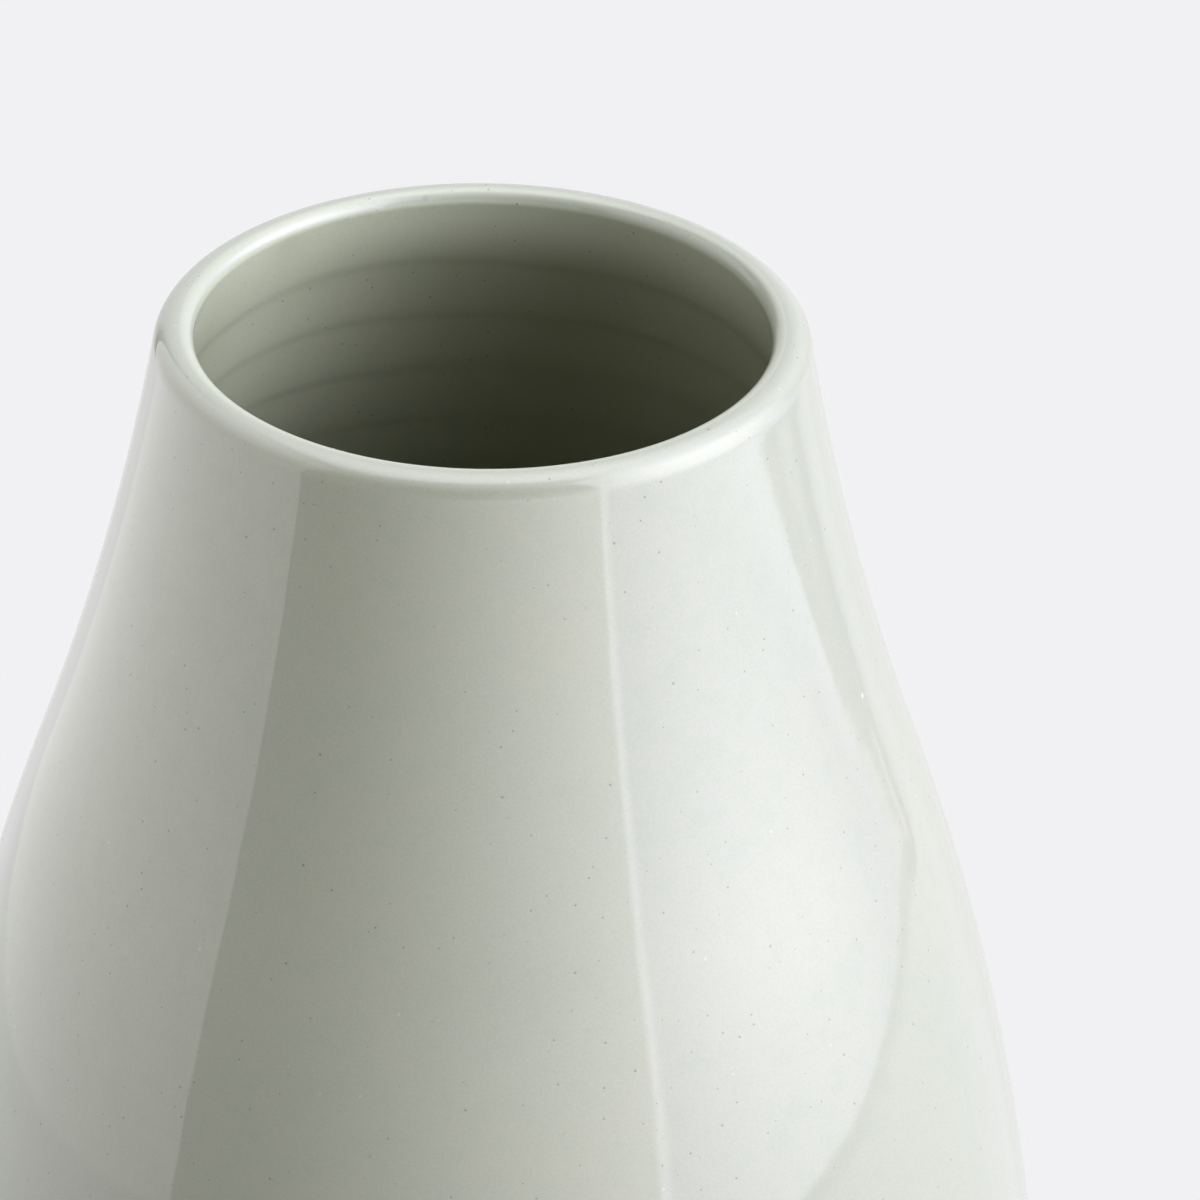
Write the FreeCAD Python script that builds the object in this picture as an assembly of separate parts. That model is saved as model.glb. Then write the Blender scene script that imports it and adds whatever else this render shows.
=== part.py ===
import FreeCAD, Part
import math
import os

# Glazed stoneware vase with a wide mouth, a long sloping shoulder and a foot ring.
# Millimetres, +Z up, origin at the centre of the circle that the foot ring rests on.
# Every wall is a chain of tangent arcs in the plane of radius and height, turned round Z.
# A lean is the angle, in degrees, of a wall from upright: positive where the vase widens downwards.

# Overall
vase_height = 296.0
glaze_thickness = 0.5
wall_thickness = 5.0

# Lip: a round outer corner and a narrow crest, as shares of the wall, and a tighter inner corner
mouth_radius = 42.55
lip_outer_round_share = 0.68
lip_crest_share = 0.05

# Neck, hollow in outline, then shoulder and belly, full in outline
lip_lean = 10.0
neck_drop = 61.5
neck_foot_lean = 19.5
shoulder_drop = 63.5
shoulder_foot_lean = 8.8
belly_drop = 74.0
belly_foot_lean = -18.5

# Foot ring, its recess and the floor above it
foot_radius = 41.0
glaze_line_height = 6.0
foot_bevel = 1.4
foot_ring_width = 8.0
recess_depth = 6.5
recess_glaze_skirt = 2.0
floor_thickness = 8.0
floor_flat_radius = 18.0

# How long the two handles of the inner bowl curve are, as shares of its height and of its width
bowl_wall_handle_share = 0.45
bowl_floor_handle_share = 0.5


def normal(lean):
    """Unit vector out of the wall, as (radius, height)."""
    angle = math.radians(lean)
    return math.cos(angle), math.sin(angle)


def along(lean):
    """Unit vector down the wall, as (radius, height)."""
    angle = math.radians(lean)
    return math.sin(angle), -math.cos(angle)


def moved(point, direction, length):
    return point[0] + direction[0] * length, point[1] + direction[1] * length


class Band:
    """One arc of the outer wall, from the lean at its top to the lean at its foot."""

    def __init__(self, top, top_lean, foot_lean, bend):
        self.top_lean = top_lean
        self.foot_lean = foot_lean
        self.bend = bend
        self.centre = moved(top, normal(top_lean), -bend)

    def point(self, lean, depth=0.0):
        """The point with this lean, at this depth into the wall."""
        return moved(self.centre, normal(lean), self.bend - depth)

    def foot(self):
        return self.point(self.foot_lean)

    def edge(self, depth):
        """The arc as an edge, from top to foot, at this depth into the wall."""
        middle = (self.top_lean + self.foot_lean) / 2
        return arc(self.point(self.top_lean, depth), self.point(middle, depth),
                   self.point(self.foot_lean, depth))


def band_by_drop(top, top_lean, foot_lean, drop):
    """The arc that turns from one lean to the other while it comes down by the drop."""
    turn = math.sin(math.radians(top_lean)) - math.sin(math.radians(foot_lean))
    return Band(top, top_lean, foot_lean, drop / turn)


def band_to_point(top, top_lean, end):
    """The arc that leaves with this lean and ends at the point."""
    chord_lean = math.degrees(math.atan2(end[0] - top[0], top[1] - end[1]))
    foot_lean = 2 * chord_lean - top_lean
    chord = math.hypot(end[0] - top[0], end[1] - top[1])
    return Band(top, top_lean, foot_lean, chord / 2 / math.sin(math.radians(top_lean - chord_lean)))


def vector(point):
    return FreeCAD.Vector(point[0], 0, point[1])


def line(start, end):
    return Part.LineSegment(vector(start), vector(end)).toShape()


def arc(start, middle, end):
    return Part.Arc(vector(start), vector(middle), vector(end)).toShape()


def turned(edges):
    """The solid that the closed outline sweeps in one turn about Z."""
    face = Part.Face(Part.Wire(Part.sortEdges(edges)[0]))
    solid = face.revolve(FreeCAD.Vector(0, 0, 0), FreeCAD.Vector(0, 0, 1), 360)
    return Part.Solid(solid.Shells[0]) if solid.ShapeType != "Solid" else solid


# The outer wall, from the lip down to the glaze line
lip_outer_round = wall_thickness * lip_outer_round_share
lip_corner = (mouth_radius, vase_height - lip_outer_round + lip_outer_round * normal(lip_lean)[1])
lip = Band(lip_corner, lip_lean, 90.0, lip_outer_round)
neck = band_by_drop(lip_corner, lip_lean, neck_foot_lean, neck_drop)
shoulder = band_by_drop(neck.foot(), neck_foot_lean, shoulder_foot_lean, shoulder_drop)
belly = band_by_drop(shoulder.foot(), shoulder_foot_lean, belly_foot_lean, belly_drop)
lower_body = band_to_point(belly.foot(), belly_foot_lean, (foot_radius, glaze_line_height))
outer_bands = [lip, neck, shoulder, belly, lower_body]
hung_bands = [neck, shoulder, belly]

# The circle of the inner corner of the lip touches the crest and the straight top of the inside wall,
# which meet, if both are drawn on, at the sharp corner
inner_start = neck.point(lip_lean, wall_thickness)
sharp_corner = moved(inner_start, along(lip_lean), (vase_height - inner_start[1]) / along(lip_lean)[1])
crest_width = wall_thickness * lip_crest_share
corner_reach = lip.centre[0] - crest_width - sharp_corner[0]
lip_inner_round = corner_reach * normal(lip_lean)[0] / (1 + normal(lip_lean)[1])
corner_centre = (lip.centre[0] - crest_width, vase_height - lip_inner_round)
crest_radius = lip.centre[0] - crest_width / 2

floor_height = recess_depth + floor_thickness
recess_radius = foot_radius - glaze_thickness - foot_ring_width


def outer_edges(depth):
    """The outside from the middle of the crest down to the glaze line, at this depth into the wall."""
    crest = line((crest_radius, vase_height - depth), lip.point(90.0, depth))
    return [crest] + [band.edge(depth) for band in outer_bands]


def corner_point(lean, depth):
    """A point of the inner corner of the lip, at this depth under its glazed face."""
    return moved(corner_centre, normal(lean), lip_inner_round - depth)


def bowl_edge(start, floor):
    """The curve of the inner bowl, from the end of the wall to the flat of the floor."""
    wall_handle = (start[1] - floor) * bowl_wall_handle_share
    floor_handle = (start[0] - floor_flat_radius) * bowl_floor_handle_share
    poles = [start, moved(start, along(belly_foot_lean), wall_handle),
             (floor_flat_radius + floor_handle, floor), (floor_flat_radius, floor)]
    curve = Part.BezierCurve()
    curve.setPoles([vector(pole) for pole in poles])
    return curve.toShape()


def inner_edges(depth):
    """The inside from the middle of the crest down to the centre of the floor, at this depth."""
    offset = wall_thickness - depth
    inner_lean = 180.0 + lip_lean
    corner_end = corner_point(inner_lean, depth)
    floor = floor_height - depth
    edges = [line((crest_radius, vase_height - depth), corner_point(90.0, depth)),
             arc(corner_point(90.0, depth), corner_point((90.0 + inner_lean) / 2, depth), corner_end),
             line(corner_end, neck.point(lip_lean, offset))]
    edges += [band.edge(offset) for band in hung_bands]
    edges.append(bowl_edge(belly.point(belly_foot_lean, offset), floor))
    edges.append(line((floor_flat_radius, floor), (0, floor)))
    return edges


def clay_body():
    """The fired wall, floor and foot ring, one glaze thickness inside every glazed face."""
    glaze_line = lower_body.point(lower_body.foot_lean, glaze_thickness)
    ring_radius = foot_radius - glaze_thickness
    recess_bevel = foot_bevel
    under = [glaze_line, (ring_radius, glaze_line_height / 2), (ring_radius, foot_bevel),
             (ring_radius - foot_bevel, 0), (recess_radius + recess_bevel, 0),
             (recess_radius, recess_bevel), (recess_radius, recess_depth), (0, recess_depth)]
    edges = outer_edges(glaze_thickness) + inner_edges(glaze_thickness)
    edges += [line(under[i], under[i + 1]) for i in range(len(under) - 1)]
    edges.append(line((0, recess_depth), (0, floor_height - glaze_thickness)))
    return turned(edges)


def outer_glaze():
    """The coat on the outside, from the crest of the lip to the glaze line."""
    foot_lean = lower_body.foot_lean
    ends = [line((crest_radius, vase_height), (crest_radius, vase_height - glaze_thickness)),
            line(lower_body.point(foot_lean), lower_body.point(foot_lean, glaze_thickness))]
    return turned(outer_edges(0.0) + outer_edges(glaze_thickness) + ends)


def inner_glaze():
    """The liner coat, from the crest of the lip to the centre of the floor."""
    ends = [line((crest_radius, vase_height), (crest_radius, vase_height - glaze_thickness)),
            line((0, floor_height), (0, floor_height - glaze_thickness))]
    return turned(inner_edges(0.0) + inner_edges(glaze_thickness) + ends)


def recess_glaze():
    """The coat under the floor, with a short skirt down the wall of the recess."""
    face = recess_depth - glaze_thickness
    skirt = face - recess_glaze_skirt
    outline = [(0, recess_depth), (recess_radius, recess_depth), (recess_radius, skirt),
               (recess_radius - glaze_thickness, skirt), (recess_radius - glaze_thickness, face),
               (0, face), (0, recess_depth)]
    return turned([line(outline[i], outline[i + 1]) for i in range(len(outline) - 1)])


nodes = {"clay_body": clay_body, "outer_glaze": outer_glaze, "inner_glaze": inner_glaze,
         "recess_glaze": recess_glaze}

os.makedirs("parts", exist_ok=True)
for name, make in nodes.items():
    shape = make()
    shape.exportStep("parts/" + name + ".step")
    box = shape.BoundBox
    print(name, "valid", shape.isValid(), "volume", round(shape.Volume, 1),
          "radius", round(box.XMax, 2), "height", round(box.ZMin, 2), "to", round(box.ZMax, 2))
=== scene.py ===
import math

import bmesh
import bpy
from mathutils import Matrix, Vector, noise


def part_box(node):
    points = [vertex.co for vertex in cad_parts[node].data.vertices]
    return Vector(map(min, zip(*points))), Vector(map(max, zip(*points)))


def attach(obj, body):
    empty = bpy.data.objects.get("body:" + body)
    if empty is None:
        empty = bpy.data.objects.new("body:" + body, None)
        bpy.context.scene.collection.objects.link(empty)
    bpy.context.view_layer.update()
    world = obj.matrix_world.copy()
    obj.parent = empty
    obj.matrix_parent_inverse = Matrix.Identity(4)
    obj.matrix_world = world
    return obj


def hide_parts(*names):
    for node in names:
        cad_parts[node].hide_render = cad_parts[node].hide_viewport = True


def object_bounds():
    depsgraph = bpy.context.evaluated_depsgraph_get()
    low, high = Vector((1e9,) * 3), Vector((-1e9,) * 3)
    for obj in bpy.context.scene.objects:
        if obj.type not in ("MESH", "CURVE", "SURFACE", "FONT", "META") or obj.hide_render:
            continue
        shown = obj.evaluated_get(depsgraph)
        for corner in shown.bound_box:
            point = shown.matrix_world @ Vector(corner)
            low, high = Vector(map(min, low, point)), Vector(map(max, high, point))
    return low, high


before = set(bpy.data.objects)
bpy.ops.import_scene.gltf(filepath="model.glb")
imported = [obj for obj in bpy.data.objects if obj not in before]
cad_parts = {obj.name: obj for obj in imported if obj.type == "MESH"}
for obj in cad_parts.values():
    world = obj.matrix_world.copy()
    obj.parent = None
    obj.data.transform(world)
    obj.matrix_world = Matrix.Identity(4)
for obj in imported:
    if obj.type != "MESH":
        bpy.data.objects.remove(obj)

bl_info = {
    "name": "Celadon Vase",
    "version": (1, 0, 0),
    "blender": (4, 5, 0),
    "location": "3D View > Sidebar > Vase",
    "description": "Builds a glazed stoneware vase, its bare foot ring and its studio",
    "category": "Object",
}

# The vase is round about Z and stands on Z = 0. All lengths here are in metres.
# A lean is the angle of a wall from upright, positive where the vase widens downwards.
CAD_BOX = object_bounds()
BODY = "root"

# Beads of glaze on the inner edge of the lip: azimuth from the camera's side, share of full size.
LIP_BEADS = ((-33.2, 0.9), (-28.0, 1.0), (-26.0, 0.9), (41.0, 0.7))
# Where on the inner round of the lip the beads sit, in degrees: 90 is the crest.
LIP_BEAD_TURN = 112

# Spots in the glaze: place, size, softness, colour and strength.
OUTER_MARKS = (((0.0498, -0.0162, 0.2512), 0.00045, 0.5, "bubble", 0.9),
               ((0.0138, -0.0431, 0.2789), 0.0005, 0.5, "glaze_pooled", 0.8))
LINER_MARKS = (((-0.0262, 0.0268, 0.2922), 0.0045, 0.9, "liner_warm", 0.45),
               ((-0.0084, 0.0366, 0.2954), 0.0006, 0.6, "glaze_break", 0.8))
# The side of the neck, inside, where the liner is painted paler as painted light from the right,
# and how far that reaches.
LINER_LIT_SIDE = (-0.0325, 0.0235, 0.2785)
LINER_LIT_REACH = 0.034
# The liner is also painted paler, as painted light, between these two drops below the crest.
LINER_LIT_FROM = 0.003
LINER_LIT_TO = 0.012

# How the ridges inside sway up and down around the turn.
RIDGE_SWAY = 0.0005
RIDGE_WAVER = 0.0003
RIDGE_TWIST = 0.011
# Spacing of the broad dents and of the fine ripple, and how far down the lip dips.
DENT_SPACING = 0.07
RIPPLE_SPACING = 0.009
LIP_DIP = 0.02

# Coarseness of the patterns in the glaze, in cells to the metre.
CLOUDS = 24
MOTTLE = 260
GRAIN = 3000
SWELL = 130
PINHOLES = 520
PALE_SPECKS = 235
PINHOLE_RADIUS = 0.00015
PALE_SPECK_RADIUS = 0.0002
SWELL_HEIGHT = 0.00003
PINHOLE_DEPTH = 0.00002
# Coarseness of the patterns in the clay, in cells to the metre.
TRIMMING = 1400
GRIT = 1100
CLAY_CLOUDS = 70
GROG = 900
GROG_RADIUS = 0.00014
TOAST_DROP = 0.003


class VaseSizes(bpy.types.PropertyGroup):
    """The driving sizes of the vessel"""
    height: bpy.props.FloatProperty(
        name="Height", description="From the foot ring to the crest of the lip",
        default=CAD_BOX[1].z, unit="LENGTH", precision=4)
    glaze: bpy.props.FloatProperty(
        name="Glaze", description="Thickness of each coat of glaze",
        default=0.0005, unit="LENGTH", precision=5)
    wall: bpy.props.FloatProperty(
        name="Wall", description="Clay and both coats together",
        default=0.005, unit="LENGTH", precision=4)
    mouth_radius: bpy.props.FloatProperty(
        name="Mouth radius", description="Outer radius where the round of the lip ends",
        default=0.04255, unit="LENGTH", precision=5)
    lip_round_share: bpy.props.FloatProperty(
        name="Lip round", description="Outer round of the lip, as a share of the wall",
        default=0.68)
    lip_crest_share: bpy.props.FloatProperty(
        name="Lip crest", description="Flat of the crest, as a share of the wall", default=0.05)
    lip_lean: bpy.props.FloatProperty(
        name="Lip lean", description="Lean of the wall just under the lip",
        default=math.radians(10), unit="ROTATION")
    neck_drop: bpy.props.FloatProperty(
        name="Neck drop", description="Height of the hollow neck", default=0.0615, unit="LENGTH",
        precision=4)
    neck_foot_lean: bpy.props.FloatProperty(
        name="Neck foot lean", description="Steepest lean, where neck meets shoulder",
        default=math.radians(19.5), unit="ROTATION")
    shoulder_drop: bpy.props.FloatProperty(
        name="Shoulder drop", description="Height of the shoulder", default=0.0635, unit="LENGTH",
        precision=4)
    shoulder_foot_lean: bpy.props.FloatProperty(
        name="Shoulder foot lean", description="Lean where shoulder meets belly",
        default=math.radians(8.8), unit="ROTATION")
    belly_drop: bpy.props.FloatProperty(
        name="Belly drop", description="Height of the belly", default=0.074, unit="LENGTH",
        precision=4)
    belly_foot_lean: bpy.props.FloatProperty(
        name="Belly foot lean", description="Lean where belly meets lower body",
        default=math.radians(-18.5), unit="ROTATION")
    foot_radius: bpy.props.FloatProperty(
        name="Foot radius", description="Outer radius at the glaze line", default=0.041,
        unit="LENGTH", precision=4)
    glaze_line: bpy.props.FloatProperty(
        name="Glaze line", description="Height at which the outer coat stops",
        default=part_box("outer_glaze")[0].z, unit="LENGTH", precision=4)
    foot_bevel: bpy.props.FloatProperty(
        name="Foot bevel", description="Bevel on both edges of the foot ring", default=0.0014,
        unit="LENGTH", precision=4)
    foot_ring: bpy.props.FloatProperty(
        name="Foot ring", description="Width of the foot ring", default=0.008, unit="LENGTH",
        precision=4)
    recess: bpy.props.FloatProperty(
        name="Recess", description="Depth of the recess in the clay",
        default=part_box("recess_glaze")[1].z, unit="LENGTH", precision=4)
    recess_skirt: bpy.props.FloatProperty(
        name="Recess skirt", description="How far the recess glaze runs down the ring",
        default=0.002, unit="LENGTH", precision=4)
    floor: bpy.props.FloatProperty(
        name="Floor", description="Thickness of the floor, glaze included", default=0.008,
        unit="LENGTH", precision=4)
    floor_flat: bpy.props.FloatProperty(
        name="Floor flat", description="Radius of the flat of the inner floor", default=0.018,
        unit="LENGTH", precision=4)
    bowl_wall_share: bpy.props.FloatProperty(
        name="Bowl wall handle", description="Share of the height of the inner bowl", default=0.45)
    bowl_floor_share: bpy.props.FloatProperty(
        name="Bowl floor handle", description="Share of the width of the inner bowl", default=0.5)
    segments: bpy.props.IntProperty(
        name="Segments", description="Sides in one turn of the vessel", default=256)
    row: bpy.props.FloatProperty(
        name="Row", description="Spacing of the rows of faces on the walls", default=0.0017,
        unit="LENGTH", precision=5)
    lip_row: bpy.props.FloatProperty(
        name="Lip row", description="Spacing of the rows of faces on the lip", default=0.00016,
        unit="LENGTH", precision=6)
    hidden_row: bpy.props.FloatProperty(
        name="Hidden row", description="Spacing of the rows where glaze meets clay",
        default=0.006, unit="LENGTH", precision=5)
    waviness: bpy.props.FloatProperty(
        name="Waviness", description="How far the wall dips below a true turn",
        default=0.00014, unit="LENGTH", precision=6)
    ripple: bpy.props.FloatProperty(
        name="Ripple", description="Height of the fine ripple of the glaze",
        default=0.000006, unit="LENGTH", precision=7)
    throwing_ring: bpy.props.FloatProperty(
        name="Throwing ring", description="Height of the ridges that fingers leave inside",
        default=0.00012, unit="LENGTH", precision=6)
    throwing_pitch: bpy.props.FloatProperty(
        name="Throwing pitch", description="Rise from one ridge inside to the next",
        default=0.009, unit="LENGTH", precision=5)
    throwing_start: bpy.props.FloatProperty(
        name="Throwing start", description="From the crest down to the first ridge inside",
        default=0.0104, unit="LENGTH", precision=5)
    throwing_underside: bpy.props.FloatProperty(
        name="Throwing underside", description="Height of the steep side under each ridge",
        default=0.0016, unit="LENGTH", precision=5)
    lip_bead: bpy.props.FloatProperty(
        name="Lip bead", description="Radius of the largest bead of glaze on the lip",
        default=0.0002, unit="LENGTH", precision=5)


class VaseColours(bpy.types.PropertyGroup):
    """The colours of glaze and clay"""
    glaze: bpy.props.FloatVectorProperty(
        name="Glaze", description="Celadon glaze outside", subtype="COLOR",
        default=(0.345, 0.36, 0.282))
    liner: bpy.props.FloatVectorProperty(
        name="Liner", description="Celadon glaze inside, a little greener", subtype="COLOR",
        default=(0.338, 0.358, 0.236))
    # Painted light: the liner is painted paler under the lip and on the lit side of the neck.
    liner_painted_light: bpy.props.FloatVectorProperty(
        name="Thin liner", description="The liner under the lip, where it has run thinner",
        subtype="COLOR", default=(0.54, 0.57, 0.43))
    liner_warm: bpy.props.FloatVectorProperty(
        name="Warm liner", description="A yellowish patch in the liner under the lip",
        subtype="COLOR", default=(0.46, 0.46, 0.31))
    glaze_pooled: bpy.props.FloatVectorProperty(
        name="Pooled glaze", description="Glaze where it lies thick", subtype="COLOR",
        default=(0.30, 0.335, 0.26))
    glaze_warm: bpy.props.FloatVectorProperty(
        name="Warm glaze", description="Faint warm clouds in the glaze", subtype="COLOR",
        default=(0.375, 0.37, 0.285))
    # Partly painted light: the lip is paler where the glaze is thinner and where it faces the light
    # from above.
    glaze_thin_and_lit: bpy.props.FloatVectorProperty(
        name="Thin glaze", description="Glaze that breaks over the lip", subtype="COLOR",
        default=(0.385, 0.41, 0.345))
    glaze_break: bpy.props.FloatVectorProperty(
        name="Break", description="Olive line where the lip turns into the wall",
        subtype="COLOR", default=(0.30, 0.30, 0.225))
    iron: bpy.props.FloatVectorProperty(
        name="Iron specks", description="Dark pinholes and iron specks", subtype="COLOR",
        default=(0.07, 0.065, 0.045))
    bubble: bpy.props.FloatVectorProperty(
        name="Light specks", description="Pale specks in the glaze", subtype="COLOR",
        default=(0.62, 0.64, 0.56))
    clay: bpy.props.FloatVectorProperty(
        name="Clay", description="Bare fired stoneware", subtype="COLOR",
        default=(0.50, 0.40, 0.29))
    clay_toasted: bpy.props.FloatVectorProperty(
        name="Toasted clay", description="Clay flashed orange beside the glaze", subtype="COLOR",
        default=(0.42, 0.24, 0.13))


class VaseStage(bpy.types.PropertyGroup):
    """The camera and the studio"""
    camera_place: bpy.props.FloatVectorProperty(
        name="Camera place", description="Camera from the centre of the crest",
        default=(0.01560, -0.92798, 0.49013), subtype="XYZ", unit="LENGTH", precision=5)
    camera_pitch: bpy.props.FloatProperty(
        name="Camera pitch", description="How far the camera looks down",
        default=math.radians(29.763), unit="ROTATION")
    camera_roll: bpy.props.FloatProperty(
        name="Camera roll", description="Turn of the camera about its own axis",
        default=math.radians(1.0016), unit="ROTATION")
    lens: bpy.props.FloatProperty(
        name="Lens", description="Focal length on a 36 mm sensor", default=245.19, precision=2)
    floor_radius: bpy.props.FloatProperty(
        name="Floor radius", description="Radius of the table", default=1.02, unit="LENGTH")
    card_facing: bpy.props.FloatProperty(
        name="Card azimuth", description="Where the left card stands, from the camera's side",
        default=math.radians(-97), unit="ROTATION")
    card_distance: bpy.props.FloatProperty(
        name="Card distance", description="From the axis of the vessel to the left card",
        default=0.15, unit="LENGTH")
    card_near: bpy.props.FloatProperty(
        name="Card near edge", description="Edge towards the camera, from the card's middle",
        default=0.137, unit="LENGTH")
    card_far: bpy.props.FloatProperty(
        name="Card far edge", description="Edge away from the camera, from the card's middle",
        default=-0.1175, unit="LENGTH")
    card_low: bpy.props.FloatProperty(
        name="Card bottom", description="Lower edge of the left card", default=0.17, unit="LENGTH")
    card_high: bpy.props.FloatProperty(
        name="Card top", description="Upper edge of the left card", default=0.488, unit="LENGTH")
    background: bpy.props.FloatVectorProperty(
        name="Background", description="Colour of the floor and backdrop, as the camera sees them",
        subtype="COLOR", default=(0.8796, 0.8796, 0.8963))


def sizes():
    return bpy.context.scene.vase_sizes


def colours():
    return bpy.context.scene.vase_colours


def studio():
    return bpy.context.scene.vase_stage


def normal(lean):
    """Unit vector out of the wall, as (radius, height)."""
    return Vector((math.cos(lean), math.sin(lean)))


def along(lean):
    """Unit vector down the wall, as (radius, height)."""
    return Vector((math.sin(lean), -math.cos(lean)))


def steps(length, spacing):
    return max(1, math.ceil(length / spacing))


class Band:
    """One arc of the outer wall, from the lean at its top to the lean at its foot."""

    def __init__(self, top, top_lean, foot_lean, bend):
        self.top_lean = top_lean
        self.foot_lean = foot_lean
        self.bend = bend
        self.centre = top - normal(top_lean) * bend

    def point(self, lean, depth=0.0):
        return self.centre + normal(lean) * (self.bend - depth)

    def foot(self):
        return self.point(self.foot_lean)

    def points(self, depth, spacing):
        """Points down the arc, at this depth into the wall, at about this spacing."""
        turn = self.foot_lean - self.top_lean
        count = steps(abs(turn * self.bend), spacing)
        return [self.point(self.top_lean + turn * i / count, depth) for i in range(count + 1)]


def band_by_drop(top, top_lean, foot_lean, drop):
    """The arc that turns from one lean to the other while it comes down by the drop."""
    return Band(top, top_lean, foot_lean, drop / (math.sin(top_lean) - math.sin(foot_lean)))


def band_to_point(top, top_lean, end):
    """The arc that leaves with this lean and ends at the point."""
    chord_lean = math.atan2(end.x - top.x, top.y - end.y)
    bend = (end - top).length / 2 / math.sin(top_lean - chord_lean)
    return Band(top, top_lean, 2 * chord_lean - top_lean, bend)


def straight(start, end, spacing):
    count = steps((end - start).length, spacing)
    return [start.lerp(end, i / count) for i in range(count + 1)]


def bezier(poles, spacing):
    """Points along a cubic curve."""
    a, b, c, d = poles
    count = steps((d - a).length, spacing)
    points = []
    for i in range(count + 1):
        t = i / count
        u = 1 - t
        points.append(a * u ** 3 + b * 3 * u * u * t + c * 3 * u * t * t + d * t ** 3)
    return points


def joined(*runs):
    """One run of points, with the point that two runs share kept once."""
    points = []
    for run in runs:
        points += run if not points else run[1:]
    return points


class Outline:
    """The outline of the vessel in the plane of radius and height."""

    def __init__(self, s):
        self.s = s
        lip_round = s.wall * s.lip_round_share
        corner = Vector((s.mouth_radius, s.height - lip_round + lip_round * math.sin(s.lip_lean)))
        quarter = math.radians(90)
        self.lip = Band(corner, s.lip_lean, quarter, lip_round)
        self.neck = band_by_drop(corner, s.lip_lean, s.neck_foot_lean, s.neck_drop)
        self.shoulder = band_by_drop(self.neck.foot(), s.neck_foot_lean, s.shoulder_foot_lean,
                                     s.shoulder_drop)
        self.belly = band_by_drop(self.shoulder.foot(), s.shoulder_foot_lean, s.belly_foot_lean,
                                  s.belly_drop)
        glaze_end = Vector((s.foot_radius, s.glaze_line))
        self.lower = band_to_point(self.belly.foot(), s.belly_foot_lean, glaze_end)
        inner_start = self.neck.point(s.lip_lean, s.wall)
        rise = (s.height - inner_start.y) / along(s.lip_lean).y
        sharp_corner = inner_start + along(s.lip_lean) * rise
        crest = s.wall * s.lip_crest_share
        reach = self.lip.centre.x - crest - sharp_corner.x
        self.inner_round = reach * math.cos(s.lip_lean) / (1 + math.sin(s.lip_lean))
        self.inner_corner = Vector((self.lip.centre.x - crest, s.height - self.inner_round))
        self.crest_radius = self.lip.centre.x - crest / 2
        self.floor_height = s.recess + s.floor
        self.recess_radius = s.foot_radius - s.glaze - s.foot_ring

    def crest(self, depth):
        return Vector((self.crest_radius, self.s.height - depth))

    def outside(self, depth, spacing, lip_spacing):
        """From the middle of the crest down the outside to the glaze line."""
        lip = list(reversed(self.lip.points(depth, lip_spacing)))
        walls = [band.points(depth, spacing) for band in (self.neck, self.shoulder, self.belly,
                                                          self.lower)]
        return joined([self.crest(depth), lip[0]], lip, *walls)

    def corner_point(self, lean, depth):
        return self.inner_corner + normal(lean) * (self.inner_round - depth)

    def ridge(self, height):
        """How far the wall inside stands in at this height: each ridge is steep underneath."""
        s = self.s
        below = (s.height - s.throwing_start - height) / s.throwing_pitch
        above = (height - self.floor_height) / s.neck_drop
        fade = max(0.0, min(1.0, below + 1, above - 0.3))
        phase = below - math.floor(below)
        under = s.throwing_underside / s.throwing_pitch
        rise = 1 - phase / under if phase < under else (phase - under) / (1 - under)
        return s.throwing_ring * fade * rise * rise * (3 - 2 * rise)

    def inside(self, depth, spacing, lip_spacing):
        """From the middle of the crest down the inside to the centre of the floor."""
        s = self.s
        quarter = math.radians(90)
        offset = s.wall - depth
        turn = quarter + s.lip_lean
        count = steps(turn * self.inner_round, lip_spacing)
        corner = [self.corner_point(quarter + turn * i / count, depth) for i in range(count + 1)]
        walls = [self.neck.points(offset, spacing / 3), self.shoulder.points(offset, spacing),
                 self.belly.points(offset, spacing)]
        top = straight(corner[-1], walls[0][0], lip_spacing * 3)
        start = walls[-1][-1]
        floor = self.floor_height - depth
        poles = [start, start + along(s.belly_foot_lean) * (start.y - floor) * s.bowl_wall_share,
                 Vector((s.floor_flat + (start.x - s.floor_flat) * s.bowl_floor_share, floor)),
                 Vector((s.floor_flat, floor))]
        flat = straight(poles[-1], Vector((0, floor)), spacing * 2)
        return joined([self.crest(depth), corner[0]], corner, top, *walls, bezier(poles, spacing),
                      flat)


def uneven(point, s, ridge=None):
    """A point of the turned form, moved as hand and kiln leave it: never outside the true turn."""
    turn_radius = math.hypot(point.x, point.y)
    if turn_radius < s.floor_flat:
        return point
    around = Vector((point.x, point.y, 0)) / turn_radius
    angle = math.atan2(around.y, around.x)
    if ridge:
        sway = RIDGE_SWAY * math.sin(angle * 2 + 0.6)
        waver = RIDGE_WAVER * math.sin(angle * 5 + point.z / RIDGE_TWIST)
        point = point - around * ridge(point.z + sway + waver)
    dents = Vector((around.x * 1.3, around.y * 1.3, point.z / DENT_SPACING))
    broad = noise.noise(dents + Vector((3, 1, 7)))
    fine = noise.noise(Vector((point.x, point.y, point.z)) / RIPPLE_SPACING)
    oval = math.cos(2 * angle + 0.7)
    inward = s.waviness * (0.5 + 0.35 * broad + 0.15 * oval) + s.ripple * (1 + fine)
    near_lip = max(0.0, 1 - (s.height - point.z) / LIP_DIP)
    down = s.waviness * 0.5 * near_lip * (1 + math.sin(3 * angle))
    return Vector((point.x - around.x * inward, point.y - around.y * inward, point.z - down * 0.5))


def object_from(bm, name):
    """Puts a finished form into the scene."""
    mesh = bpy.data.meshes.new(name)
    bm.to_mesh(mesh)
    bm.free()
    form = bpy.data.objects.new(name, mesh)
    bpy.context.scene.collection.objects.link(form)
    return form


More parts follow.
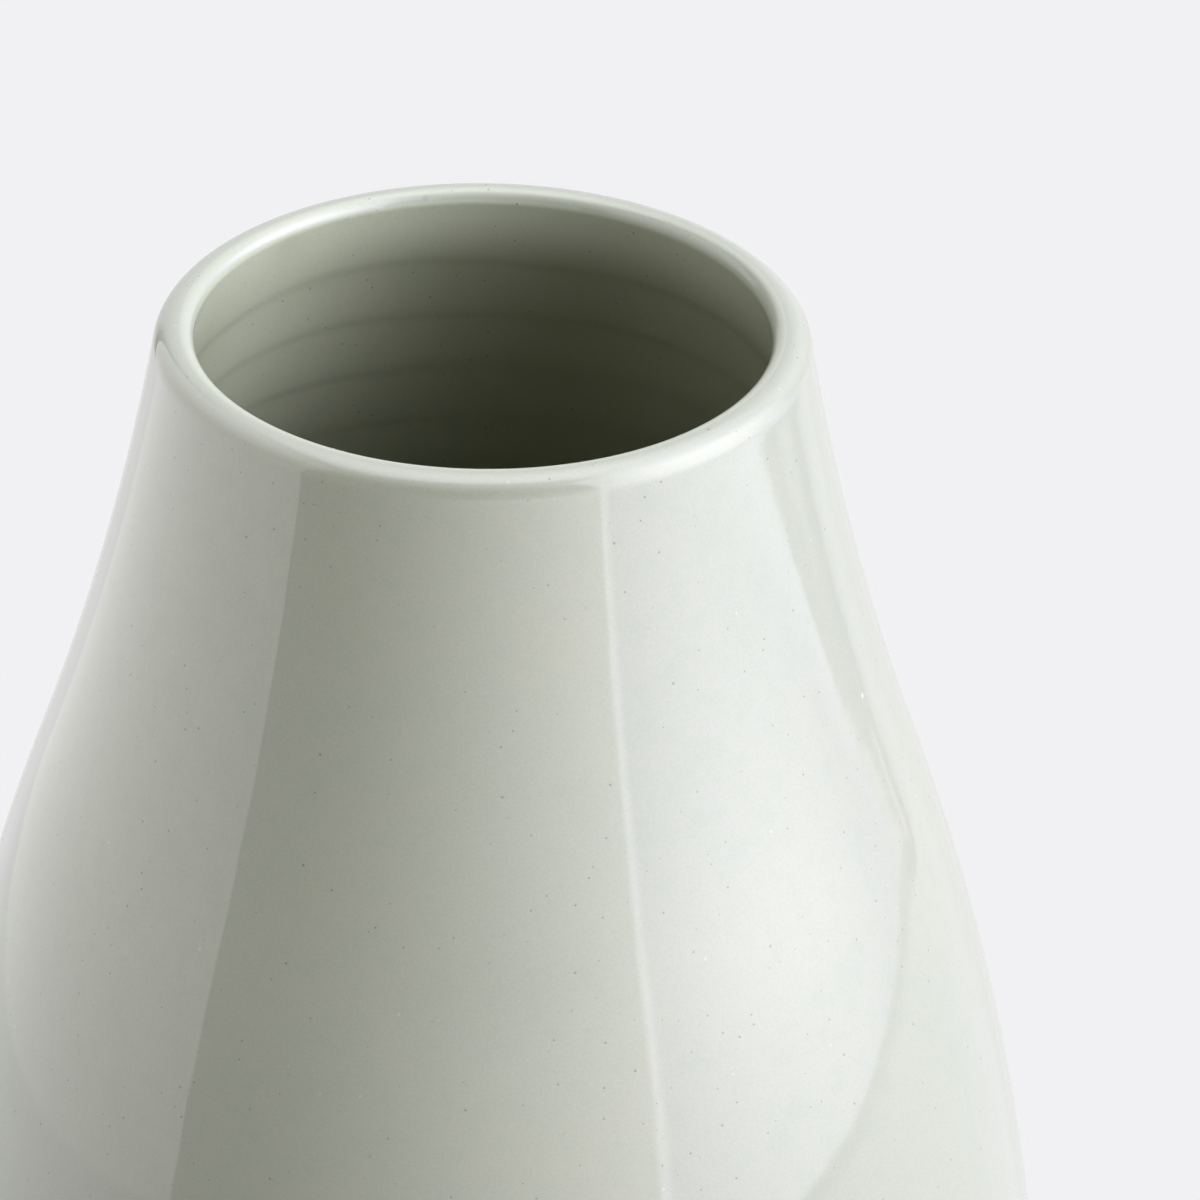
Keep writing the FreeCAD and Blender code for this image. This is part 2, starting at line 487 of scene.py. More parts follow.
def turned(name, outline_points, closed, s, sharp_degrees=50, ridge=None):
    """A closed form turned from an outline. An open outline starts and ends on the axis."""
    bm = bmesh.new()
    verts = [bm.verts.new((point.x, 0, point.y)) for point in outline_points]
    pairs = list(zip(verts, verts[1:]))
    if closed:
        pairs.append((verts[-1], verts[0]))
    edges = [bm.edges.new(pair) for pair in pairs]
    bmesh.ops.spin(bm, geom=verts + edges, cent=(0, 0, 0), axis=(0, 0, 1), dvec=(0, 0, 0),
                   angle=math.radians(360), steps=s.segments, use_merge=True,
                   use_normal_flip=False, use_duplicate=False)
    bmesh.ops.remove_doubles(bm, verts=bm.verts, dist=1e-7)
    bmesh.ops.dissolve_degenerate(bm, dist=1e-8, edges=bm.edges)
    for vert in bm.verts:
        vert.co = uneven(vert.co, s, ridge)
    bmesh.ops.recalc_face_normals(bm, faces=bm.faces)
    for face in bm.faces:
        face.smooth = True
    for edge in bm.edges:
        if len(edge.link_faces) == 2 and edge.calc_face_angle() > math.radians(sharp_degrees):
            edge.smooth = False
    return object_from(bm, name)


def seat(piece, nodes, material):
    """Finishes a piece: its material, the body it rides on, and the CAD nodes it stands for."""
    piece.data.materials.append(material)
    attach(piece, BODY)
    if nodes:
        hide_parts(*nodes)


def node_tree(material):
    material.use_nodes = True
    tree = material.node_tree
    tree.nodes.clear()
    return tree


def add(tree, kind, inputs=None, **settings):
    """A node with these settings and these input values or links."""
    node = tree.nodes.new(kind)
    for key, value in settings.items():
        setattr(node, key, value)
    for key, value in (inputs or {}).items():
        if isinstance(value, bpy.types.NodeSocket):
            tree.links.new(value, node.inputs[key])
        else:
            node.inputs[key].default_value = value
    return node


def math_node(tree, operation, a, b=0.0):
    return add(tree, "ShaderNodeMath", {0: a, 1: b}, operation=operation).outputs[0]


def multiply_add(tree, value, factor, addend):
    node = add(tree, "ShaderNodeMath", {0: value, 1: factor, 2: addend}, operation="MULTIPLY_ADD")
    return node.outputs[0]


def blend_colour(tree, share, a, b):
    node = add(tree, "ShaderNodeMix", {0: share, 6: a, 7: b}, data_type="RGBA")
    return node.outputs[2]


def rgba(colour):
    return (*colour, 1.0)


def smooth_step(tree, value, low, high, to_low=0.0, to_high=1.0):
    node = add(tree, "ShaderNodeMapRange", {"Value": value, "From Min": low, "From Max": high,
                                            "To Min": to_low, "To Max": to_high},
               interpolation_type="SMOOTHSTEP")
    return node.outputs["Result"]


def noise_node(tree, place, scale, detail, roughness=0.5):
    """Cloudy noise from 0 to 1."""
    node = add(tree, "ShaderNodeTexNoise", {"Vector": place, "Scale": scale, "Detail": detail,
                                            "Roughness": roughness})
    return node.outputs["Fac"]


def object_place(tree):
    return add(tree, "ShaderNodeTexCoord").outputs["Object"]


def split(tree, vector):
    return add(tree, "ShaderNodeSeparateXYZ", {0: vector}).outputs


def from_axis(tree, axes):
    """Distance from the axis of the vessel."""
    flat = add(tree, "ShaderNodeCombineXYZ", {0: axes[0], 1: axes[1]}).outputs[0]
    return add(tree, "ShaderNodeVectorMath", {0: flat}, operation="LENGTH").outputs["Value"]


def scaled(tree, vector, factor):
    node = add(tree, "ShaderNodeVectorMath", {0: vector, 3: factor}, operation="SCALE")
    return node.outputs[0]


def bump(tree, height, strength):
    node = add(tree, "ShaderNodeBump", {"Height": height, "Distance": 1.0, "Strength": strength})
    return node.outputs["Normal"]


def specks(tree, place, scale, radius):
    """Round specks of about this radius, scattered in the glaze: 1 in a speck, 0 between them."""
    cells = add(tree, "ShaderNodeTexVoronoi", {"Vector": place, "Scale": scale}).outputs
    chance = add(tree, "ShaderNodeSeparateColor", {0: cells["Color"]}).outputs[0]
    reach = multiply_add(tree, chance, radius * scale, radius * scale * 0.45)
    share = math_node(tree, "DIVIDE", cells["Distance"], reach)
    return smooth_step(tree, share, 0.5, 1.0, 1.0, 0.0)


def lip_turn(tree, place, centre):
    """Angle about the middle of a round of the lip, in degrees: 0 is outward, 90 the crest."""
    axes = split(tree, place)
    out = math_node(tree, "SUBTRACT", from_axis(tree, axes), centre.x)
    up = math_node(tree, "SUBTRACT", axes[2], centre.y)
    return math_node(tree, "MULTIPLY", math_node(tree, "ARCTAN2", up, out), math.degrees(1))


def mark(tree, place, spot, size, softness):
    """1 at the spot, falling to 0 at this distance from it."""
    away = add(tree, "ShaderNodeVectorMath", {0: place, 1: spot}, operation="DISTANCE")
    return smooth_step(tree, away.outputs["Value"], size * (1 - softness), size, 1.0, 0.0)


def glaze_material(name, colour, lip_centre=None, thin_lit_turns=None, break_turn=None, marks=()):
    """Glossy celadon: faint clouds, grain, pinholes and pale specks under a glassy surface.
    Where the coat turns over the lip it is paler between the two turns: thinner glaze and painted
    light from above. A coat with a break turn has an olive line there. The liner has none; it has
    painted light under the lip and on the lit side of its neck."""
    c = colours()
    material = bpy.data.materials.new(name)
    tree = node_tree(material)
    place = object_place(tree)
    clouds = noise_node(tree, place, CLOUDS, 3, 0.55)
    mottle = noise_node(tree, place, MOTTLE, 4, 0.65)
    grain = noise_node(tree, place, GRAIN, 1)
    body = blend_colour(tree, smooth_step(tree, clouds, 0.42, 0.72, 0.0, 0.4), rgba(colour),
                        rgba(c.glaze_warm))
    body = blend_colour(tree, smooth_step(tree, mottle, 0.4, 0.75, 0.0, 0.35), body,
                        rgba(c.glaze_pooled))
    if lip_centre:
        if not break_turn:
            # Painted light on the liner: paler under the lip and on the side of the neck that the
            # right panel lights.
            crest = sizes().height
            near_lip = smooth_step(tree, split(tree, place)[2], crest - LINER_LIT_TO,
                                   crest - LINER_LIT_FROM)
            body = blend_colour(tree, near_lip, body, rgba(c.liner_painted_light))
            lit_side = mark(tree, place, LINER_LIT_SIDE, LINER_LIT_REACH, 1.0)
            body = blend_colour(tree, math_node(tree, "MULTIPLY", lit_side, 0.8), body,
                                rgba(c.liner_painted_light))
        turn = lip_turn(tree, place, lip_centre)
        shifted = math_node(tree, "SUBTRACT", multiply_add(tree, mottle, 14.0, turn), 7.0)
        if break_turn:
            line = smooth_window(tree, shifted, break_turn - 7, break_turn + 7, 10, 10)
            body = blend_colour(tree, math_node(tree, "MULTIPLY", line, 0.4), body,
                                rgba(c.glaze_break))
        # Paler over the lip: thinner glaze, and painted light on the upward faces of the lip.
        low, high = thin_lit_turns
        thin_and_lit = smooth_window(tree, shifted, low, high, 24, 16)
        body = blend_colour(tree, math_node(tree, "MULTIPLY", thin_and_lit, 0.75), body,
                            rgba(c.glaze_thin_and_lit))
    shade = add(tree, "ShaderNodeMapRange", {"Value": grain, "From Min": 0.3, "From Max": 0.7,
                                             "To Min": 0.965, "To Max": 1.035}).outputs["Result"]
    body = scaled(tree, body, shade)
    pinholes = specks(tree, place, PINHOLES, PINHOLE_RADIUS)
    body = blend_colour(tree, math_node(tree, "MULTIPLY", pinholes, 0.6), body, rgba(c.iron))
    pale = specks(tree, place, PALE_SPECKS, PALE_SPECK_RADIUS)
    body = blend_colour(tree, math_node(tree, "MULTIPLY", pale, 0.3), body, rgba(c.bubble))
    broken = smooth_step(tree, mottle, 0.35, 0.6, 0.5, 1.0)
    for spot, size, softness, spot_colour, strength in marks:
        share = math_node(tree, "MULTIPLY", mark(tree, place, spot, size, softness), broken)
        body = blend_colour(tree, math_node(tree, "MULTIPLY", share, strength), body,
                            rgba(getattr(c, spot_colour)))
    swell = noise_node(tree, place, SWELL, 2)
    pits = math_node(tree, "MULTIPLY", pinholes, -PINHOLE_DEPTH)
    surface_shape = bump(tree, multiply_add(tree, swell, SWELL_HEIGHT, pits), 0.6)
    surface = add(tree, "ShaderNodeBsdfPrincipled", {
        "Base Color": body, "Roughness": 0.5, "IOR": 1.5, "Specular IOR Level": 0.8,
        "Coat Weight": 0.9, "Coat Roughness": 0.03, "Coat IOR": 1.5,
        "Normal": surface_shape, "Coat Normal": surface_shape})
    add(tree, "ShaderNodeOutputMaterial", {"Surface": surface.outputs["BSDF"]})
    return material


def clay_material(name):
    """Bare stoneware: grit, rings left by the trimming tool, and a toasted line by the glaze."""
    c = colours()
    s = sizes()
    material = bpy.data.materials.new(name)
    tree = node_tree(material)
    place = object_place(tree)
    axes = split(tree, place)
    profile = add(tree, "ShaderNodeCombineXYZ", {0: from_axis(tree, axes), 2: axes[2]}).outputs[0]
    trimming = noise_node(tree, profile, TRIMMING, 3, 0.6)
    grit = noise_node(tree, place, GRIT, 4, 0.7)
    clouds = noise_node(tree, place, CLAY_CLOUDS, 3)
    toast = smooth_step(tree, axes[2], s.glaze_line - TOAST_DROP, s.glaze_line, 0.0, 0.9)
    toast = math_node(tree, "MULTIPLY", toast, smooth_step(tree, clouds, 0.25, 0.6, 0.45, 1.0))
    patchy = smooth_step(tree, clouds, 0.45, 0.75, 0.0, 0.25)
    body = blend_colour(tree, math_node(tree, "MAXIMUM", toast, patchy), rgba(c.clay),
                        rgba(c.clay_toasted))
    shade = add(tree, "ShaderNodeMapRange", {"Value": math_node(tree, "ADD", grit, trimming),
                                             "From Min": 0.6, "From Max": 1.4, "To Min": 0.86,
                                             "To Max": 1.12}).outputs["Result"]
    body = scaled(tree, body, shade)
    grog = specks(tree, place, GROG, GROG_RADIUS)
    body = blend_colour(tree, math_node(tree, "MULTIPLY", grog, 0.5), body, rgba(c.iron))
    height = math_node(tree, "ADD", math_node(tree, "MULTIPLY", grit, 0.00005),
                       math_node(tree, "MULTIPLY", trimming, 0.00006))
    surface = add(tree, "ShaderNodeBsdfPrincipled", {"Base Color": body, "Roughness": 0.85,
                                                     "Normal": bump(tree, height, 0.7)})
    add(tree, "ShaderNodeOutputMaterial", {"Surface": surface.outputs["BSDF"]})
    return material


class VASE_OT_outer_coat(bpy.types.Operator):
    """Makes the coat of glaze on the outside, from the crest of the lip to the glaze line"""
    bl_idname = "vase.outer_coat"
    bl_label = "Outer Coat"

    def execute(self, context):
        s = sizes()
        outline = Outline(s)
        front = outline.outside(0.0, s.row, s.lip_row)
        back = outline.outside(s.glaze, s.hidden_row, s.lip_row * 8)
        front = [point for point in front if point.y > s.glaze_line + s.glaze * 1.2]
        shoulder = front[-1]
        bead = bezier([shoulder, Vector((shoulder.x, s.glaze_line + s.glaze * 0.35)),
                       Vector((s.foot_radius - s.glaze * 0.2, s.glaze_line)), back[-1]],
                      s.glaze / 8)
        points = front + bead[1:] + list(reversed(back[:-1]))
        piece = turned("outer_glaze_coat", points, True, s)
        look = glaze_material("celadon_outer", colours().glaze, outline.lip.centre, (52, 200), 34,
                              OUTER_MARKS)
        seat(piece, ["outer_glaze"], look)
        return {"FINISHED"}


class VASE_OT_liner_coat(bpy.types.Operator):
    """Makes the liner coat, from the crest of the lip to the centre of the floor"""
    bl_idname = "vase.liner_coat"
    bl_label = "Liner Coat"

    def execute(self, context):
        s = sizes()
        outline = Outline(s)
        front = outline.inside(0.0, s.row, s.lip_row)
        back = outline.inside(s.glaze, s.hidden_row, s.lip_row * 8)
        points = list(reversed(front)) + back
        piece = turned("liner_glaze_coat", points, False, s, ridge=outline.ridge)
        look = glaze_material("celadon_liner", colours().liner, outline.inner_corner, (20, 165),
                              marks=LINER_MARKS)
        seat(piece, ["inner_glaze"], look)
        return {"FINISHED"}


class VASE_OT_clay(bpy.types.Operator):
    """Makes the fired clay wall, floor and bare foot ring"""
    bl_idname = "vase.clay"
    bl_label = "Clay Body"

    def execute(self, context):
        s = sizes()
        outline = Outline(s)
        ring = s.foot_radius - s.glaze
        under = [Vector((ring, s.glaze_line / 2)), Vector((ring, s.foot_bevel)),
                 Vector((ring - s.foot_bevel, 0)),
                 Vector((outline.recess_radius + s.foot_bevel, 0)),
                 Vector((outline.recess_radius, s.foot_bevel)),
                 Vector((outline.recess_radius, s.recess)), Vector((0, s.recess))]
        inside = outline.inside(s.glaze, s.hidden_row, s.lip_row * 8)
        outside = outline.outside(s.glaze, s.hidden_row, s.lip_row * 8)
        piece = turned("clay_vessel", list(reversed(inside)) + outside[1:] + under, False, s, 30)
        seat(piece, ["clay_body"], clay_material("fired_stoneware"))
        return {"FINISHED"}


class VASE_OT_lip_beads(bpy.types.Operator):
    """Makes the tiny beads of glaze that set on the inner edge of the lip"""
    bl_idname = "vase.lip_beads"
    bl_label = "Lip Beads"

    def execute(self, context):
        s = sizes()
        edge = Outline(s).corner_point(math.radians(LIP_BEAD_TURN), s.lip_bead * 0.5)
        bm = bmesh.new()
        for azimuth, share in LIP_BEADS:
            turn = math.radians(azimuth)
            place = Vector((math.sin(turn) * edge.x, -math.cos(turn) * edge.x, edge.y))
            shape = Matrix.Translation(place) @ Matrix.Rotation(turn, 4, "Z") @ Matrix.Diagonal(
                (1.4, 1, 0.8, 1))
            bmesh.ops.create_icosphere(bm, subdivisions=3, radius=s.lip_bead * share, matrix=shape)
        for face in bm.faces:
            face.smooth = True
        piece = object_from(bm, "lip_glaze_beads")
        seat(piece, [], bpy.data.materials["celadon_outer"])
        return {"FINISHED"}


class VASE_OT_recess_coat(bpy.types.Operator):
    """Makes the coat of glaze in the recess under the floor"""
    bl_idname = "vase.recess_coat"
    bl_label = "Recess Coat"

    def execute(self, context):
        s = sizes()
        outline = Outline(s)
        edge = outline.recess_radius
        face = s.recess - s.glaze
        points = [Vector((0, s.recess)), Vector((edge, s.recess)),
                  Vector((edge, face - s.recess_skirt)),
                  Vector((edge - s.glaze, face - s.recess_skirt)), Vector((edge - s.glaze, face)),
                  Vector((0, face))]
        piece = turned("recess_glaze_coat", points, False, s)
        look = glaze_material("celadon_recess", colours().glaze_pooled)
        seat(piece, ["recess_glaze"], look)
        return {"FINISHED"}


def add_camera():
    stage = studio()
    data = bpy.data.cameras.new("camera")
    data.sensor_width = 36
    data.lens = stage.lens
    data.clip_end = 100
    camera = bpy.data.objects.new("camera", data)
    bpy.context.scene.collection.objects.link(camera)
    tilt = Matrix.Rotation(math.radians(90) - stage.camera_pitch, 4, "X")
    roll = Matrix.Rotation(stage.camera_roll, 4, "Z")
    crest = Vector((0, 0, sizes().height))
    camera.matrix_world = Matrix.Translation(crest + Vector(stage.camera_place)) @ tilt @ roll
    bpy.context.scene.camera = camera


def smooth_window(tree, value, low, high, low_soft, high_soft):
    """1 between low and high, falling to 0 across a soft edge on each side."""
    rise = smooth_step(tree, value, low - low_soft / 2, low + low_soft / 2)
    fall = smooth_step(tree, value, high - high_soft / 2, high + high_soft / 2, 1.0, 0.0)
    return math_node(tree, "MULTIPLY", rise, fall)


def dot_node(tree, vector, axis):
    node = add(tree, "ShaderNodeVectorMath", {0: vector, 1: axis}, operation="DOT_PRODUCT")
    return node.outputs["Value"]


class Direction:
    """Looks at the direction of a world ray. Azimuth 0 is the camera's side, 90 is +X."""

    def __init__(self, tree):
        self.tree = tree
        self.vector = add(tree, "ShaderNodeTexCoord").outputs["Generated"]
        axes = split(tree, self.vector)
        front = math_node(tree, "MULTIPLY", axes[1], -1.0)
        self.azimuth = self.degrees(math_node(tree, "ARCTAN2", axes[0], front))
        self.elevation = self.degrees(math_node(tree, "ARCSINE", axes[2]))

    def degrees(self, radians):
        return math_node(self.tree, "MULTIPLY", radians, math.degrees(1))

    def flat_panel(self, facing, tilt, across, along, softness):
        """A flat rectangle of light seen from the vessel. Its middle lies at this azimuth and
        tilt; across and along are its limits, as shares of its distance."""
        tree = self.tree
        azimuth = math.radians(facing)
        elevation = math.radians(tilt)
        middle = (math.sin(azimuth) * math.cos(elevation), -math.cos(azimuth) * math.cos(elevation),
                  math.sin(elevation))
        right = (math.cos(azimuth), math.sin(azimuth), 0)
        up = (-math.sin(azimuth) * math.sin(elevation), math.cos(azimuth) * math.sin(elevation),
              math.cos(elevation))
        ahead = dot_node(tree, self.vector, middle)
        near_ahead = math_node(tree, "MAXIMUM", ahead, 0.001)
        u = math_node(tree, "DIVIDE", dot_node(tree, self.vector, right), near_ahead)
        v = math_node(tree, "DIVIDE", dot_node(tree, self.vector, up), near_ahead)
        wide = smooth_window(tree, u, *across, *softness[:2])
        tall = smooth_window(tree, v, *along, *softness[2:])
        seen = math_node(tree, "GREATER_THAN", ahead, 0.001)
        return math_node(tree, "MULTIPLY", seen, math_node(tree, "MULTIPLY", wide, tall)), u, v

    def zone(self, azimuths, azimuth_soft, elevations, elevation_soft):
        """A soft zone between two azimuths and two elevations."""
        around = smooth_window(self.tree, self.azimuth, *azimuths, *azimuth_soft)
        height = smooth_window(self.tree, self.elevation, *elevations, *elevation_soft)
        return math_node(self.tree, "MULTIPLY", around, height)


# Limits of the right panel across, and the place of its lamp across and up, as shares of its
# distance from the vessel.
RIGHT_PANEL_ACROSS = (-0.96, 0.95)
RIGHT_LAMP = (-0.03, 0.65)
RIGHT_LAMP_REACH = 1.1


def right_window(sky):
    """The whole right panel, and the direction as a place across and up it."""
    return sky.flat_panel(84, 0, RIGHT_PANEL_ACROSS, (-0.33, 2.0), (0.08, 0.06, 0.1, 0.1))


def right_panel(sky):
    """An even light over the right panel."""
    return right_window(sky)[0]


def right_panel_fade(sky):
    """The part of the right panel's light that falls away from its front edge."""
    window, u, v = right_window(sky)
    fade = smooth_step(sky.tree, u, *RIGHT_PANEL_ACROSS, 1.0, 0.0)
    return math_node(sky.tree, "MULTIPLY", window, fade)


def right_panel_core(sky):
    """The bright middle of the right panel, in front of its lamp."""
    window, u, v = right_window(sky)
    away = [math_node(sky.tree, "SUBTRACT", place, lamp) for place, lamp in zip((u, v), RIGHT_LAMP)]
    squares = [math_node(sky.tree, "MULTIPLY", part, part) for part in away]
    reach = math_node(sky.tree, "SQRT", math_node(sky.tree, "ADD", *squares))
    fade = smooth_step(sky.tree, reach, 0.0, RIGHT_LAMP_REACH, 1.0, 0.0)
    return math_node(sky.tree, "MULTIPLY", window, fade)


def overhead_panel(sky):
    """A panel above and behind the vessel."""
    return sky.flat_panel(180, 90, (-0.75, 0.5), (-1.0, 0.2), (0.5, 0.3, 0.6, 0.12))[0]


def overhead_core(sky):
    """The brighter middle of the overhead panel."""
    return sky.flat_panel(180, 90, (-0.4, 0.4), (-0.5, 0.2), (0.4, 0.4, 0.5, 0.3))[0]


def dim_room(sky):
    """The low part of the room in front, between the card and the right panel."""
    return sky.zone((-60, 42), (4, 4), (-90, 9), (1, 14))


def room_glow(sky):
    """The room in front, brighter towards the right panel."""
    ramp = smooth_step(sky.tree, sky.azimuth, -60, 60)
    return math_node(sky.tree, "MULTIPLY", ramp, dim_room(sky))


def backdrop_left(sky):
    return sky.zone((-190, -152), (1, 8), (-90, 40), (1, 30))


def backdrop_right(sky):
    return sky.zone((129, 190), (6, 1), (-90, 40), (1, 30))


def under_panels_right(sky):
    """What lies under and beside the right panel, beyond the table."""
    return sky.zone((42, 129), (4, 4), (-90, -14), (1, 4))


def under_panels_left(sky):
    """What lies under and beside the left card."""
    return sky.zone((-134, -60), (4, 4), (-90, -14), (1, 4))


# Each light: where it shines from, its colour and its strength.
LIGHTS = {
    "right_panel": (right_panel, (0.8, 0.8, 1.22), 0.95),
    "right_panel_fade": (right_panel_fade, (0.97, 0.97, 1.05), 2.3),
    "right_panel_core": (right_panel_core, (1, 1, 1.02), 4),
    "overhead_panel": (overhead_panel, (1, 1, 1), 1.65),
    "overhead_core": (overhead_core, (1, 1, 1), 1),
    "dim_room": (dim_room, (1, 1, 1), 0.03),
    "room_glow": (room_glow, (1, 1, 0.97), 2.85),
    "backdrop_left": (backdrop_left, (1, 1, 1), 0.85),
    "backdrop_right": (backdrop_right, (1, 1, 1), 0.75),
    "under_panels_right": (under_panels_right, (1, 1, 1), 1),
    "under_panels_left": (under_panels_left, (1, 1, 1), 0.3),
}


def table_all(tree, azimuth, reach):
    """The whole table."""
    return 1.0


def table_front(tree, azimuth, reach):
    """The side of the table towards the camera, in the shade of the room."""
    return smooth_window(tree, azimuth, -62, 50, 40, 40)


def table_gap(tree, azimuth, reach):
    """The dark gap between the edge of the table and the foot of the right panel. It comes
    nearer to the vessel at the far end."""
    nearer = smooth_step(tree, azimuth, 118, 130, 0.0, 0.13)
    edge = smooth_window(tree, math_node(tree, "ADD", reach, nearer), 0.915, 1.0, 0.06, 0.02)
    return math_node(tree, "MULTIPLY", edge, smooth_window(tree, azimuth, 50, 135, 6, 5))


# How far the marks on the table waver, how coarsely, and how far the shade at the foot spreads.
TABLE_WAVER = 0.12
TABLE_WAVER_SCALE = 14
TABLE_SHADE = 0.13
# Azimuths between which the table turns from the side to behind the vessel.
BEHIND_RIGHT = (139, 145)
BEHIND_LEFT = (-156, -148)
# Colour and strength of the glow of the left card, and of the parts of the table's glow: painted
# light.
CARD_LIGHT = ((1, 0.99, 1.03), 1.27)
TABLE_LIGHTS = {
    "table_all": (table_all, (0.98, 0.975, 1.06), 1),
    "table_front": (table_front, (1, 1, 1.2), -0.5),
    "table_gap": (table_gap, (1, 1, 1), -0.6),
}


def sum_of_lights(tree, parts):
    """Adds up the colours of several masks, each with its colour and strength."""
    total = None
    for name, mask, colour, strength in parts:
        light = tuple(channel * strength for channel in colour)
        part = add(tree, "ShaderNodeVectorMath", {0: light, 3: mask}, operation="SCALE",
                   label=name).outputs[0]
        if total is None:
            total = part
        else:
            total = add(tree, "ShaderNodeVectorMath", {0: total, 1: part},
                        operation="ADD").outputs[0]
    return total


def shows_background(tree, behind):
    """1 for rays that show the plain background: the camera's, and also mirrored and clear ones
    that end behind the vessel. All others show the lights of the studio."""
    path = add(tree, "ShaderNodeLightPath").outputs
    mirrored = math_node(tree, "MAXIMUM", path["Is Glossy Ray"], path["Is Transmission Ray"])
    return math_node(tree, "MAXIMUM", path["Is Camera Ray"],
                     math_node(tree, "MULTIPLY", mirrored, behind))


def add_card():
    """A white card close to the left of the vessel. It glows by itself: its glow is painted light
    in place of the lamps' light on it. The camera doesn't see it.
    """
    stage = studio()
    facing = stage.card_facing
    out = Vector((math.sin(facing), -math.cos(facing), 0)) * stage.card_distance
    side = Vector((math.cos(facing), math.sin(facing), 0))
    low, high = Vector((0, 0, stage.card_low)), Vector((0, 0, stage.card_high))
    near, far = side * stage.card_near, side * stage.card_far
    bm = bmesh.new()
    corners = [bm.verts.new(out + place) for place in (far + low, near + low, near + high,
                                                       far + high)]
    bm.faces.new(corners)
    card = object_from(bm, "card")
    card.visible_camera = False
    material = bpy.data.materials.new("glowing_card")
    tree = node_tree(material)
    parts = [("left_card", 1.0, *CARD_LIGHT)]
    light = add(tree, "ShaderNodeEmission", {"Color": sum_of_lights(tree, parts), "Strength": 1.0})
    add(tree, "ShaderNodeOutputMaterial", {"Surface": light.outputs[0]})
    card.data.materials.append(material)


def add_floor():
    """A round white table that glows: for the vessel its glow is painted light from the table,
    darkened by painted shade near the foot. The camera sees it as white as the backdrop, with the
    vessel's shade.
    From underneath it is clear, so that the foot shows."""
    stage = studio()
    bm = bmesh.new()
    bmesh.ops.create_circle(bm, cap_ends=True, segments=128, radius=stage.floor_radius)
    table = object_from(bm, "table")
    material = bpy.data.materials.new("glowing_table")
    tree = node_tree(material)
    place = object_place(tree)
    axes = split(tree, place)
    turn = math_node(tree, "ARCTAN2", axes[0], math_node(tree, "MULTIPLY", axes[1], -1.0))
    azimuth = math_node(tree, "MULTIPLY", turn, math.degrees(1))
    waver = noise_node(tree, place, TABLE_WAVER_SCALE, 3)
    reach = multiply_add(tree, waver, TABLE_WAVER, from_axis(tree, axes))
    reach = math_node(tree, "SUBTRACT", reach, TABLE_WAVER / 2)
    shade = add(tree, "ShaderNodeAmbientOcclusion", {"Distance": TABLE_SHADE}, samples=4)
    soft_shade = multiply_add(tree, shade.outputs["AO"], 0.75, 0.25)
    parts = [(name, mask(tree, azimuth, reach), colour, strength)
             for name, (mask, colour, strength) in TABLE_LIGHTS.items()]
    light = add(tree, "ShaderNodeEmission", {"Color": sum_of_lights(tree, parts),
                                             "Strength": soft_shade})
    behind = math_node(tree, "ADD", smooth_step(tree, azimuth, *BEHIND_RIGHT),
                       smooth_step(tree, azimuth, *BEHIND_LEFT, 1.0, 0.0))
    seen = shows_background(tree, behind)
    glow = add(tree, "ShaderNodeEmission", {"Color": rgba(stage.background),
                                            "Strength": soft_shade})
    mix = add(tree, "ShaderNodeMixShader", {0: seen, 1: light.outputs[0], 2: glow.outputs[0]})
    under = add(tree, "ShaderNodeNewGeometry").outputs["Backfacing"]
    clear = add(tree, "ShaderNodeBsdfTransparent")
    one_sided = add(tree, "ShaderNodeMixShader", {0: under, 1: mix.outputs[0], 2: clear.outputs[0]})
    add(tree, "ShaderNodeOutputMaterial", {"Surface": one_sided.outputs[0]})
    table.data.materials.append(material)


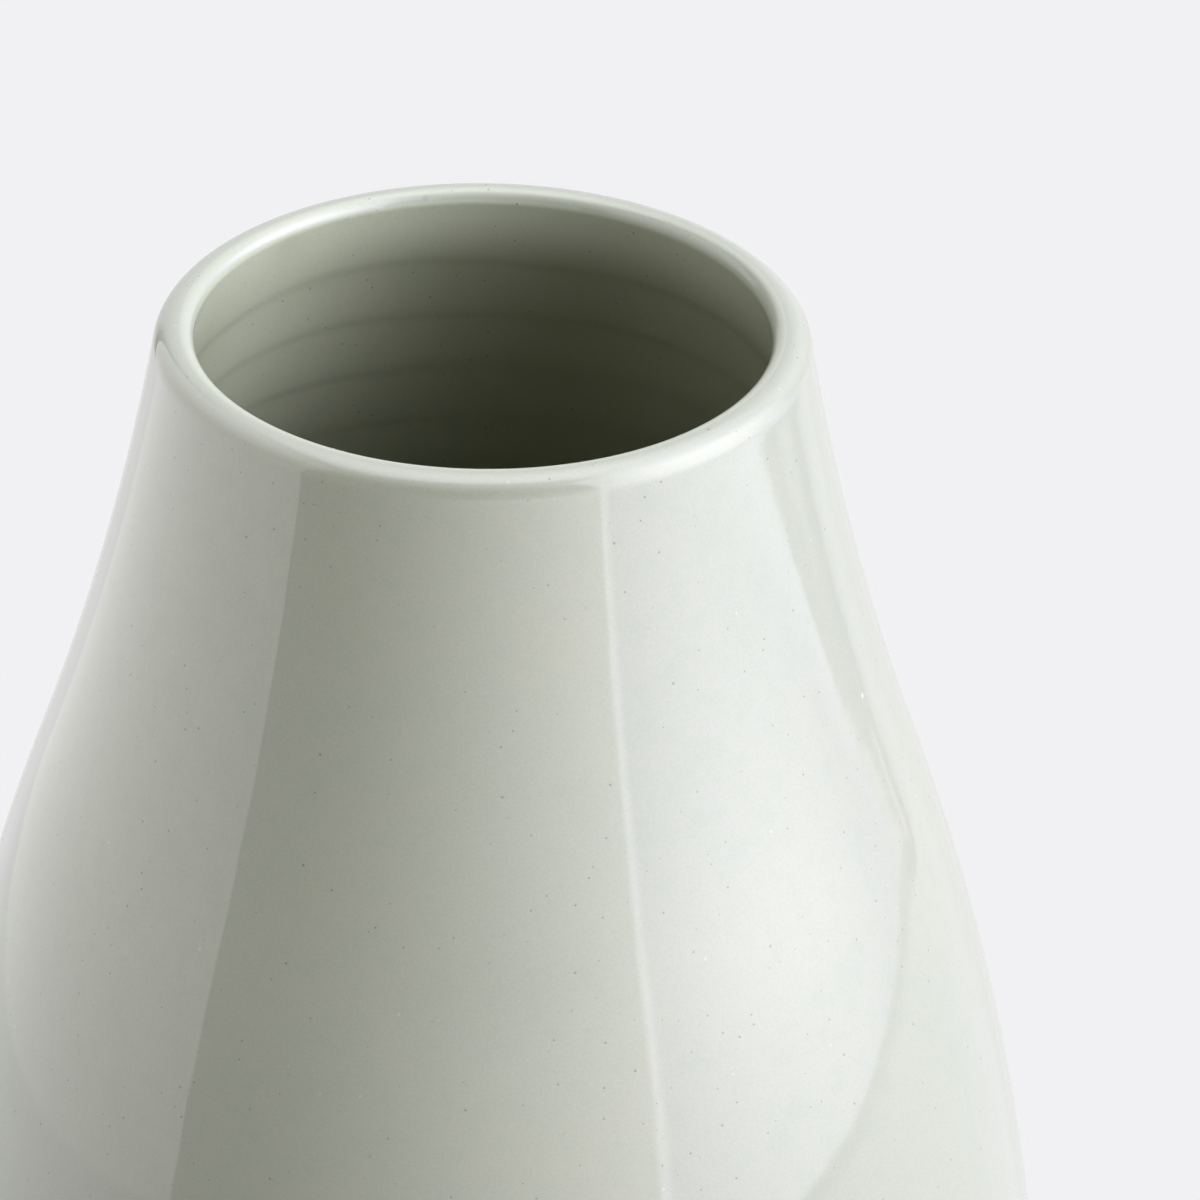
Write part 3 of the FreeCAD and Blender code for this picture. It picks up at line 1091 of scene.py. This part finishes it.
def add_world():
    stage = studio()
    world = bpy.data.worlds.new("studio")
    bpy.context.scene.world = world
    world.use_nodes = True
    tree = world.node_tree
    tree.nodes.clear()
    sky = Direction(tree)
    parts = [(name, mask(sky), colour, strength)
             for name, (mask, colour, strength) in LIGHTS.items()]
    light = add(tree, "ShaderNodeBackground", {"Color": sum_of_lights(tree, parts),
                                               "Strength": 1.0})
    seen = shows_background(tree, math_node(tree, "ADD", backdrop_left(sky), backdrop_right(sky)))
    backdrop = add(tree, "ShaderNodeBackground", {"Color": rgba(stage.background), "Strength": 1.0})
    mix = add(tree, "ShaderNodeMixShader", {0: seen, 1: light.outputs[0], 2: backdrop.outputs[0]})
    add(tree, "ShaderNodeOutputWorld", {"Surface": mix.outputs[0]})


class VASE_OT_stage(bpy.types.Operator):
    """Makes the table, the card, the light and the camera"""
    bl_idname = "vase.stage"
    bl_label = "Stage"

    def execute(self, context):
        context.scene.view_settings.view_transform = "Standard"
        add_camera()
        add_floor()
        add_card()
        add_world()
        return {"FINISHED"}


class VASE_PT_panel(bpy.types.Panel):
    """Lists the steps that build the vase"""
    bl_idname = "VASE_PT_panel"
    bl_label = "Vase"
    bl_space_type = "VIEW_3D"
    bl_region_type = "UI"
    bl_category = "Vase"

    def draw(self, context):
        for operator in OPERATORS:
            self.layout.operator(operator.bl_idname)
        for group in ("vase_sizes", "vase_colours", "vase_stage"):
            values = getattr(context.scene, group)
            for name in values.bl_rna.properties.keys():
                if name not in ("rna_type", "name"):
                    self.layout.prop(values, name)


OPERATORS = (VASE_OT_clay, VASE_OT_outer_coat, VASE_OT_liner_coat, VASE_OT_lip_beads,
             VASE_OT_recess_coat, VASE_OT_stage)
GROUPS = {"vase_sizes": VaseSizes, "vase_colours": VaseColours, "vase_stage": VaseStage}


def register():
    for cls in (*GROUPS.values(), *OPERATORS, VASE_PT_panel):
        bpy.utils.register_class(cls)
    for name, cls in GROUPS.items():
        setattr(bpy.types.Scene, name, bpy.props.PointerProperty(type=cls))


def unregister():
    for name in GROUPS:
        delattr(bpy.types.Scene, name)
    for cls in reversed((*GROUPS.values(), *OPERATORS, VASE_PT_panel)):
        bpy.utils.unregister_class(cls)


def main():
    register()
    bpy.ops.vase.clay()
    bpy.ops.vase.outer_coat()
    bpy.ops.vase.liner_coat()
    bpy.ops.vase.lip_beads()
    bpy.ops.vase.recess_coat()
    bpy.ops.vase.stage()


if __name__ == "__main__":
    main()
